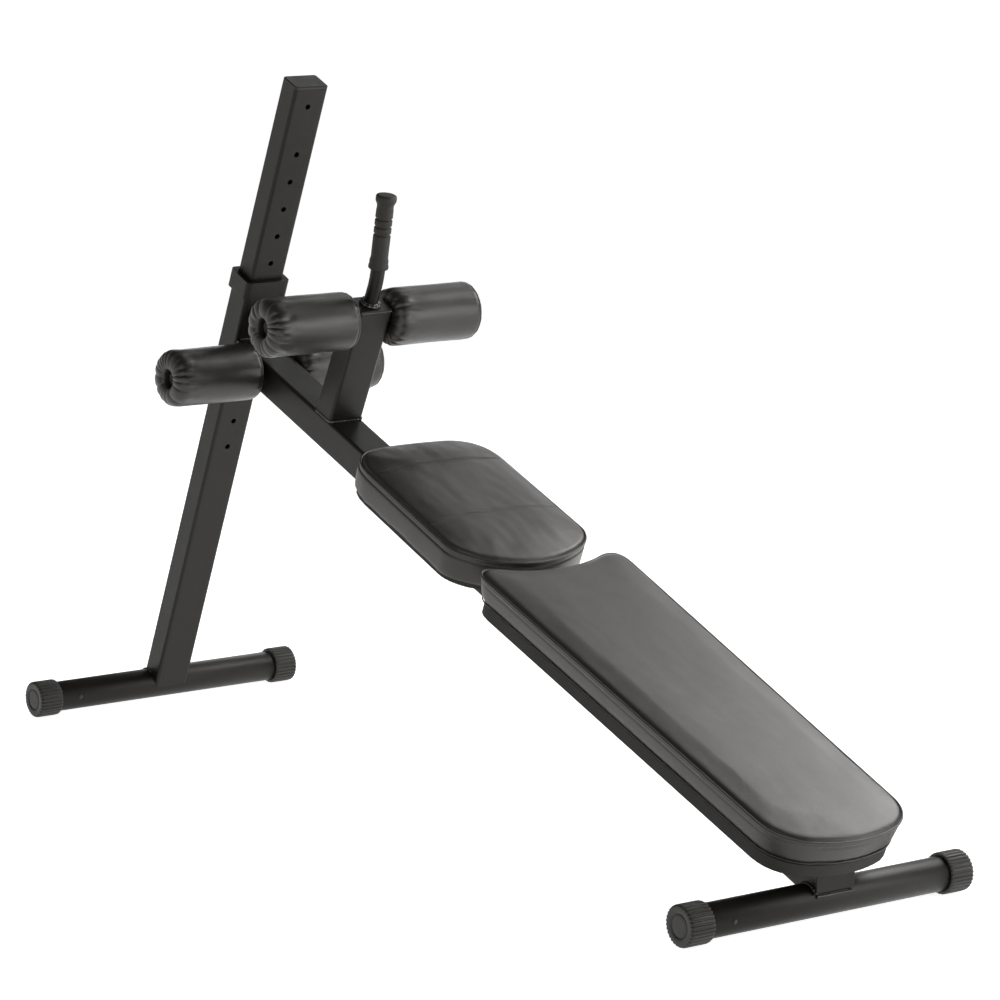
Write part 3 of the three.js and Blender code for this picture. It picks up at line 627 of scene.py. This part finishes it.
def roller(name, place, node, body, inset, side, seed):
    """A foam roller in a drawn vinyl sleeve. Its gathered end faces -Y and its seamed end faces +Y."""
    near = inset if side == "right" else -inset - ROLLER_LENGTH
    rng = random.Random(seed)
    phases = [rng.uniform(0, 2 * math.pi) for _ in range(4)]
    swells = [rng.uniform(0.35, 1.75) for _ in range(PLEATS + 1)]
    rings = []
    for r, y, fold in roller_profile():
        rumple = math.exp(-((y - 148) / 12) ** 2) + 1.6 * math.exp(-((y - 16) / 20) ** 2)
        sleeve = min(1, max(0, (r - 20) / 20))      # 0 at the bore, 1 on the sleeve
        ring = []
        for j in range(ROLLER_SEGMENTS):
            angle = 2 * math.pi * j / ROLLER_SEGMENTS
            x, z = math.cos(angle), math.sin(angle)
            stand = fold * pleat(angle, r, phases, swells)
            soft = noise.noise(Vector((x * 1.3, y * 0.018, z * 1.3 + seed)))
            fine = noise.noise(Vector((x * 5, y * 0.045, z * 5 + seed)))
            radius = r + stand * (0.35 + 0.65 * sleeve)
            radius += sleeve * (0.7 * soft + rumple * 0.9 * fine - 0.6)
            ring.append((x * radius, near + y - stand * (1.15 - 0.75 * sleeve), z * radius))
        rings.append(ring)
    points, faces = loft(rings, wrap_rings=True)
    obj = mesh_object(name, points, faces, place, sharp=math.radians(70))
    return finish_piece(obj, ROLLER_VINYL, "roller_vinyl", body, node)


def rollers():
    upper = ROLLER_POST @ Matrix.Translation((0, 0, UPPER_AXLE_HEIGHT))
    lower = BEAM @ Matrix.Translation((-LOWER_AXLE_UP, 0, 0))
    levels = (("upper", upper, UPPER_INSET), ("lower", lower, LOWER_INSET))
    for seed, (level, place, inset) in enumerate(levels):
        for side in ("left", "right"):
            roller(f"{level}_{side}_foam_roller", place, f"{level}_roller_{side}", f"roller_{level}_{side}",
                   inset, side, 3 + 5 * seed + (side == "left") * 11)
            sign = -1 if side == "left" else 1
            end = inset + ROLLER_LENGTH - AXLE_SHORT + GAP
            profile = [(0.2, end - 14), (9.2, end - 14), (10.2, end - 12), (10.2, end), (12.3, end),
                       (12.5, end + 0.4), (12.5, end + 1.4), (11.8, end + 2.3), (10.4, end + 2.9),
                       (8.4, end + 3), (7.8, end + 2.4), (2, end + 2.2), (0.2, end + 2.2)]
            cap = lathe(f"{level}_{side}_axle_cap", "y", [(r, sign * d) for r, d in profile], place, 64)
            finish_piece(cap, PLASTIC, "cap_plastic", "bench_frame", f"{level}_axle_plug_{side}")


# ------------------------------------------------------------------ pads
def quadratic(a, b, c, steps=14):
    return [(1 - t) ** 2 * a + 2 * t * (1 - t) * b + t * t * c for t in np.linspace(0, 1, steps)]


def outline(pad, inset=0.0, step=4.0):
    """The pad's edge as evenly spaced points in the beam frame, as the CAD draws it."""
    def end_point(end, arc, y):
        sag = abs(arc) - math.sqrt(arc * arc - y * y)
        if end == "top":
            return pad["top"] - inset - math.copysign(sag, arc)
        return pad["low"] + inset + sag
    loops = []
    for end in ("top", "low"):
        arc, corner, half = pad[end + "_arc"], pad["corner_" + end], pad["half_" + end] - inset
        side = 1 if end == "top" else -1
        tip = end_point(end, arc, half)
        inner = half - corner
        across = [(end_point(end, arc, y), y) for y in np.linspace(-inner, inner, 24)]
        loops.append((tip - side * corner, tip, half, across))
    (top_side, top_tip, top_half, top), (low_side, low_tip, low_half, low) = loops

    def half_at(up):
        share = (up - pad["low"]) / (pad["top"] - pad["low"])
        return pad["half_low"] + share * (pad["half_top"] - pad["half_low"]) - inset

    def point(up, y):
        return np.array((-up, y))
    loop = quadratic(point(top_side, -half_at(top_side)), point(top_tip, -top_half), point(*top[0]))
    loop += [point(*p) for p in top[1:-1]]
    loop += quadratic(point(*top[-1]), point(top_tip, top_half), point(top_side, half_at(top_side)))
    loop += quadratic(point(low_side, half_at(low_side)), point(low_tip, low_half), point(*low[-1]))
    loop += [point(*p) for p in low[::-1][1:-1]]
    loop += quadratic(point(*low[0]), point(low_tip, -low_half), point(low_side, -half_at(low_side)))
    return resample([Vector((p[0], p[1], 0)) for p in loop], step, closed=True)


def at_height(loop, height):
    return [Vector((p.x, p.y, BEAM_H / 2 + height)) for p in loop]


def distance_tree(points):
    tree = KDTree(len(points))
    for i, p in enumerate(points):
        tree.insert(p, i)
    tree.balance()
    return tree


def seam_tree(pad, inset, step, height):
    """Finds how far a point is from a line round the pad, in metres."""
    return distance_tree([p * MM for p in at_height(outline(pad, inset, step), height)])


def row_inset(pad):
    """How far the leaning wall has drawn in at the row of stitches."""
    return pad["wall_inset"] * STITCH_DROP / (pad["edge"] - CUSHION_LOW)


def crown_height(pad):
    """Height above which a cushion's points belong to its crown, in metres."""
    return (BEAM_H / 2 + pad["edge"] + 1) * MM


def positions(obj):
    return np.array([v.co for v in obj.data.vertices])


def cushion_rings(pad):
    """Inset and height of a cushion's rings: up the leaning wall, over the edge seam and onto the crown."""
    edge, wall = pad["edge"], pad["wall_inset"]
    rings = [(wall + 3.2, CUSHION_LOW + 0.3), (wall + 1.4, CUSHION_LOW + 1.6), (wall + 0.6, CUSHION_LOW + 5)]
    for share in (0.3, 0.55, 0.8):
        rings.append((wall * (1 - share) + 0.6, CUSHION_LOW + share * (edge - CUSHION_LOW)))
    rings += [(0.5, edge - 4), (0.6, edge - 1), (1.1, edge + 0.8)]
    return rings + [(inset, edge + height) for inset, height in LIP]


def cushion_shell(name, pad):
    """A cushion's closed form before it swells, remeshed into even faces."""
    count = len(outline(pad))
    rings = []
    for inset, height in cushion_rings(pad):
        loop = outline(pad, inset, 0.5)
        spaced = [loop[round(i * len(loop) / count) % len(loop)] for i in range(count)]
        rings.append(at_height(spaced, height))
    verts, faces = loft(rings)
    obj = mesh_object(name, verts, faces, Matrix.Scale(MM, 4))
    bm = bmesh.new()
    bm.from_mesh(obj.data)
    bmesh.ops.triangulate(bm, faces=[f for f in bm.faces if len(f.verts) > 4])
    bm.to_mesh(obj.data)
    bm.free()
    modify(obj, "REMESH", mode="VOXEL", voxel_size=VOXEL * MM, adaptivity=0)
    apply_modifiers(obj)
    return obj


def sewn_points(obj, pad):
    """The points that the edge seam and the hem hold still."""
    edge = seam_tree(pad, 1.2, 2.0, pad["edge"])
    hem = (BEAM_H / 2 + CUSHION_LOW + 3.5) * MM
    return [v.index for v in obj.data.vertices if v.co.z < hem or edge.find(v.co)[2] < 3.4 * MM]


def raise_dome(obj, pad):
    """Raises the crown towards the middle of the pad."""
    rim = seam_tree(pad, 0, 2.0, 0)
    for v in obj.data.vertices:
        if v.co.z > crown_height(pad):
            away = rim.find((v.co.x, v.co.y, BEAM_H / 2 * MM))[2] / MM
            share = 1 - (1 - min(1, away / DOME_REACH)) ** DOME_POWER
            v.co.z += pad["dome"] * share * MM


def cushion(name, pad, node, seams=()):
    """A foam pad in vinyl: a cloth simulation swells it between its sewn edges, then seams are pressed in."""
    obj = cushion_shell(name, pad)
    pinned = sewn_points(obj, pad)
    obj.vertex_groups.new(name="sewn").add(pinned, 1.0, "REPLACE")
    raise_dome(obj, pad)
    rest = positions(obj)
    links = np.array([tuple(e.vertices) for e in obj.data.edges])
    swell(obj)
    move = positions(obj) - rest
    move[pinned] = 0
    move = relaxed(move, links, SWELL_SMOOTHING)
    reach = np.linalg.norm(move, axis=1)
    limit = np.where(rest[:, 2] > crown_height(pad), SWELL_TOP, SWELL_SIDE) * MM
    move *= (np.minimum(reach, limit) / np.maximum(reach, 1e-9))[:, None]
    for v, p in zip(obj.data.vertices, relaxed(rest, links, 3) + move):
        v.co = p
    modify(obj, "SUBSURF", levels=1, render_levels=1, subdivision_type="CATMULL_CLARK")
    apply_modifiers(obj)
    press_seams(obj, pad, seams)
    obj.data.transform(BEAM @ Matrix.Scale(1 / MM, 4))
    for polygon in obj.data.polygons:
        polygon.use_smooth = True
    return finish_piece(obj, PAD_VINYL, "pad_vinyl", "bench_frame", node)


def relaxed(values, links, rounds):
    """Per-vertex vectors averaged with their neighbours' a few times."""
    degree = np.bincount(links.ravel(), minlength=len(values))[:, None]
    for _ in range(rounds):
        total = np.zeros_like(values)
        np.add.at(total, links[:, 0], values[links[:, 1]])
        np.add.at(total, links[:, 1], values[links[:, 0]])
        values = 0.4 * values + 0.6 * total / np.maximum(degree, 1)
    return values


def swell(obj):
    """Inflates the mesh a little with Blender's cloth, its sewn edges held."""
    cloth = obj.modifiers.new("cloth", "CLOTH")
    settings = cloth.settings
    settings.quality = 5
    settings.mass = 0.3
    settings.tension_stiffness = 40
    settings.compression_stiffness = 40
    settings.shear_stiffness = 20
    settings.bending_stiffness = 8
    settings.vertex_group_mass = "sewn"
    settings.use_pressure = True
    settings.uniform_pressure_force = 4
    settings.effector_weights.gravity = 0
    settings.shrink_min = 0.0
    cloth.collision_settings.use_collision = False
    cloth.point_cache.frame_start = 1
    cloth.point_cache.frame_end = 20
    scene = bpy.context.scene
    for step in range(1, 21):
        scene.frame_set(step)
        bpy.context.view_layer.update()
    apply_modifiers(obj)
    scene.frame_set(1)


def press_seams(obj, pad, seams):
    """Presses the edge seam, the stitched row under it, the puckered hem and the cross seams into a pad."""
    edge = seam_tree(pad, 3.3, 1.5, pad["edge"] + 2.2)
    row = seam_tree(pad, row_inset(pad), 1.5, pad["edge"] - STITCH_DROP)
    hem_height = CUSHION_LOW + 4
    hem = seam_tree(pad, pad["wall_inset"], 1.5, hem_height)
    centre = Vector((-(pad["top"] + pad["low"]) / 2, 0, BEAM_H / 2 + 40)) * MM
    for v in obj.data.vertices:
        p = v.co
        inward = centre - p
        if abs(p.y) > 0.06:
            inward = Vector((0, inward.y, inward.z * 2))
        inward.normalize()
        flat = Vector((inward.x, inward.y, 0)).normalized()
        depth = 1.6 * math.exp(-(edge.find(p)[2] / MM / 1.8) ** 2)
        across = row.find(p)[2] / MM
        shift = inward * depth + flat * math.exp(-(across / 1.9) ** 2)
        _, at, near = hem.find(p)
        if pad is BACK and near / MM < 14:
            along = at * 1.5
            pucker = 0.5 + 0.5 * math.sin(along * 0.35 + 2 * noise.noise((along * 0.02, 3, 1)))
            flank = math.exp(-((p.z / MM - BEAM_H / 2 - hem_height) / 4.0) ** 2)
            shift += flat * flank * (0.5 + 0.8 * pucker)
        v.co = p + shift * MM
        if p.z > (BEAM_H / 2 + pad["edge"] + 3) * MM:
            for seam in seams:
                v.co.z -= 0.6 * MM * math.exp(-((p.x / MM + seam) / 2.2) ** 2)
            v.co.z += pad["dome"] * 0.12 * MM * noise.noise(Vector((p.x * 9, p.y * 26, 2.0)))
            v.co.z += pad["dome"] * 0.05 * MM * noise.noise(Vector((p.x * 24, p.y * 60, 5.0)))
    obj.data.update()


def edge_cords(name, pad):
    """The piping sewn into a pad's upper edge and the stitches below it."""
    piping = sweep(f"{name}_piping", at_height(outline(pad, 1.5, 3.0), pad["edge"] + 0.1),
                   round_section(1.8, 12), BEAM, closed=True)
    finish_piece(piping, PAD_VINYL, "pad_vinyl", "bench_frame")
    row = at_height(outline(pad, row_inset(pad) + 1.3, 4.2), pad["edge"] - STITCH_DROP)
    stitches(f"{name}_stitches", row, closed=True)


def hem_cord(name, pad):
    """The cord along the lower edge of a pad's wall."""
    points = outline(pad, pad["wall_inset"] + 0.8, 3.0)
    wavy = [Vector((p.x, p.y, BEAM_H / 2 + CUSHION_LOW + 3.6 + 0.7 * noise.noise((i * 0.12, 5, 2))))
            for i, p in enumerate(points)]
    hem = sweep(f"{name}_hem_cord", wavy, round_section(1.0), BEAM, closed=True)
    finish_piece(hem, PAD_VINYL, "pad_vinyl", "bench_frame")


def skirt(pad):
    """The seat's vinyl wall, from its stitched row down over its board to a wavy lower edge."""
    base = outline(pad, 0, 3.0)
    top = pad["edge"] - STITCH_DROP - 0.6
    section = (     # inset, height, share of the hem's waves
        (3.7, 19, 0), (3.6, 12, 0.4), (3.3, 8.4, 1), (2.2, 7.6, 1), (1.4, 8.8, 1), (0.9, 12, 0.7),
        (0.5, 18, 0.3), (0.2, 25, 0), (0.1, 32, 0), (0.1, top - 3.5, 0), (0.4, top - 1, 0),
        (1.2, top, 0), (2.4, top - 1, 0), (2.6, 28, 0), (3.0, 21.5, 0))
    rings = []
    for i, p in enumerate(base):
        along = base[(i + 1) % len(base)] - base[i - 1]
        inward = Vector((along.y, -along.x, 0)).normalized()
        drop = 3.2 * noise.noise((i * 0.055, 8, 3)) + 0.8 * noise.noise((i * 0.3, 2, 3))
        rings.append([Vector((p.x + inward.x * inset, p.y + inward.y * inset,
                              BEAM_H / 2 + height + drop * share)) for inset, height, share in section])
    verts, faces = loft(rings, wrap_rings=True)
    finish_piece(mesh_object("seat_pad_skirt", verts, faces, BEAM), PAD_VINYL, "pad_vinyl", "bench_frame")


def stitches(name, points, closed=False, length=2.9):
    """Separate thread stitches along a line on the beam frame, each a short rounded arch."""
    radius, sides = 0.42, 6
    thickness = ((-0.5, 0.35), (-0.38, 0.9), (0, 1.1), (0.38, 0.9), (0.5, 0.35))    # place along, share
    verts, faces = [], []
    count = len(points)
    for i in range(count if closed else count - 1):
        a, b = points[i], points[(i + 1) % count]
        along = (b - a).normalized()
        side = along.cross(Vector((0, 0, 1))).normalized()
        up = side.cross(along)
        start = len(verts)
        for share, size in thickness:
            centre = (a + b) / 2 + along * share * length
            verts += [centre + side * x + up * y for x, y in polygon_ring(radius * size, sides)]
        for ring in range(len(thickness) - 1):
            first = start + ring * sides
            for k in range(sides):
                c, d = first + k, first + (k + 1) % sides
                faces.append((c, d, d + sides, c + sides))
        last = start + (len(thickness) - 1) * sides
        faces.append(tuple(start + k for k in range(sides - 1, -1, -1)))
        faces.append(tuple(last + k for k in range(sides)))
    return finish_piece(mesh_object(name, verts, faces, BEAM), THREAD, "pad_vinyl", "bench_frame")


def surface_line(obj, seam, half):
    """Points on the seat's upper surface along a cross seam, in the beam frame."""
    inverse = BEAM.inverted()
    points = [inverse @ (obj.matrix_world @ v.co) for v in obj.data.vertices]
    crown = [p for p in points if p.z > BEAM_H / 2 + SEAT["edge"] + 2]
    tree = distance_tree([(p.x, p.y, 0) for p in crown])
    line = []
    for y in np.arange(-half, half + 0.1, 4.0):
        near = tree.find_n((-seam, y, 0), 4)
        line.append(Vector((-seam, y, sum(crown[i].z for _, i, _ in near) / len(near))))
    return line


def pads():
    for name in ("seat", "back"):
        carry(f"{name}_board", WRAP_VINYL, "wrapped_board", "bench_frame", bevel=3, segments=4)
    seat = cushion("seat_pad", SEAT, "seat_cushion", seams=SEAT_SEAMS)
    cushion("back_pad", BACK, "back_cushion")
    skirt(SEAT)
    edge_cords("seat_pad", SEAT)
    edge_cords("back_pad", BACK)
    hem_cord("back_pad", BACK)
    for i, seam in enumerate(SEAT_SEAMS):
        line = surface_line(seat, seam, 100)
        for k, offset in enumerate((-2.6, 2.6)):
            row = [Vector((p.x + offset, p.y, p.z + 0.35)) for p in line]
            stitches(f"seat_seam_{i + 1}_stitches_{k + 1}", row, length=2.8)


# ------------------------------------------------------------------ scene
SENSOR = 36             # mm
CAMERA = {"azimuth": 53.93, "elevation": 9.75, "lens": 148.6692, "distance": 6.1918,
          "target": (0.700, 0, 0.401), "right": 0.14337, "up": 0.02741}
FLOOR_HALF, FLOOR_Z = 30, -0.0004       # metres


def camera():
    a, e = math.radians(CAMERA["azimuth"]), math.radians(CAMERA["elevation"])
    back = Vector((math.sin(a) * math.cos(e), -math.cos(a) * math.cos(e), math.sin(e)))
    right = Vector((math.cos(a), math.sin(a), 0))
    up = back.cross(right)
    data = bpy.data.cameras.new("camera")
    data.sensor_width = SENSOR
    data.lens = CAMERA["lens"]
    data.clip_start, data.clip_end = 0.1, 60
    obj = bpy.data.objects.new("camera", data)
    bpy.context.scene.collection.objects.link(obj)
    target = Vector(CAMERA["target"]) + Vector((REAR_FOOT.x, 0, 0))
    obj.matrix_world = Matrix.Translation(
        target + back * CAMERA["distance"] + right * CAMERA["right"] + up * CAMERA["up"]
    ) @ Matrix((right, up, back)).transposed().to_4x4()
    bpy.context.scene.camera = obj


def softbox(name, location, aim, size, power):
    data = bpy.data.lights.new(name, "AREA")
    data.shape = "RECTANGLE"
    data.size, data.size_y = size
    data.energy = power
    obj = bpy.data.objects.new(name, data)
    bpy.context.scene.collection.objects.link(obj)
    obj.location = location
    obj.rotation_mode = "QUATERNION"
    obj.rotation_quaternion = (Vector(aim) - Vector(location)).to_track_quat("-Z", "Y")


def studio():
    floor_mat, tree, shader = material("floor", (0.9, 0.9, 0.9), 0.7, specular=0.1)
    mottle = texture(tree, "ShaderNodeTexNoise", 3, Detail=2)
    tree.links.new(ramp(tree, mottle.outputs["Fac"], [(0.3, (0.89, 0.89, 0.89)), (0.7, (0.91, 0.91, 0.91))]),
                   shader.inputs["Base Color"])
    shader.inputs["Emission Color"].default_value = (1, 1, 1, 1)
    shader.inputs["Emission Strength"].default_value = 0.86
    corners = ((-1, -1), (1, -1), (1, 1), (-1, 1))
    verts = [(x * FLOOR_HALF, y * FLOOR_HALF, FLOOR_Z) for x, y in corners]
    floor = mesh_object("floor", verts, [(0, 1, 2, 3)])
    floor.data.materials.append(floor_mat)
    backdrop()
    softbox("overhead", (0.1, 2.35, 2.15), (0.8, 0, 0.2), (1.5, 1.4), 60)
    softbox("rear_overhead", (-1.85, 2.1, 3.0), (-0.1, 0, 0.6), (0.8, 0.7), 7)
    softbox("rear", (-3.4, 2.5, 1.3), (-0.2, 0, 0.4), (2.0, 1.2), 14)
    softbox("side", (2.6, 1.9, 1.2), (-0.2, 0, 0.6), (1.3, 1.6), 46)
    softbox("front", (2.4, -3.2, 2.2), (0.2, 0, 0.4), (2.4, 1.8), 26)
    softbox("left", (-3.0, -1.8, 1.8), (-0.2, 0, 0.6), (1.8, 1.8), 6)
    scene = bpy.context.scene
    scene.view_settings.view_transform = "Standard"
    scene.view_settings.look = "None"


def backdrop():
    """A white seamless background that lights the object only dimly, brighter towards the horizon."""
    world = bpy.data.worlds.new("studio")
    bpy.context.scene.world = world
    world.use_nodes = True
    tree = world.node_tree
    seen = tree.nodes["Background"]
    seen.inputs["Color"].default_value = (1, 1, 1, 1)
    lit = tree.nodes.new("ShaderNodeBackground")
    coords = tree.nodes.new("ShaderNodeTexCoord")
    split = tree.nodes.new("ShaderNodeSeparateXYZ")
    tree.links.new(coords.outputs["Generated"], split.inputs["Vector"])
    tree.links.new(ramp(tree, split.outputs["Z"], [(0.0, 0.8), (0.12, 0.5), (0.3, 0.24), (1.0, 0.13)]),
                   lit.inputs["Color"])
    path = tree.nodes.new("ShaderNodeLightPath")
    mix = tree.nodes.new("ShaderNodeMixShader")
    tree.links.new(path.outputs["Is Camera Ray"], mix.inputs["Fac"])
    tree.links.new(lit.outputs["Background"], mix.inputs[1])
    tree.links.new(seen.outputs["Background"], mix.inputs[2])
    tree.links.new(mix.outputs["Shader"], tree.nodes["World Output"].inputs["Surface"])


camera()
steelwork()
foot("rear", REAR, "post_assembly")
foot("front", FRONT, "bench_frame")
handle()
rollers()
pads()
welds()
studio()
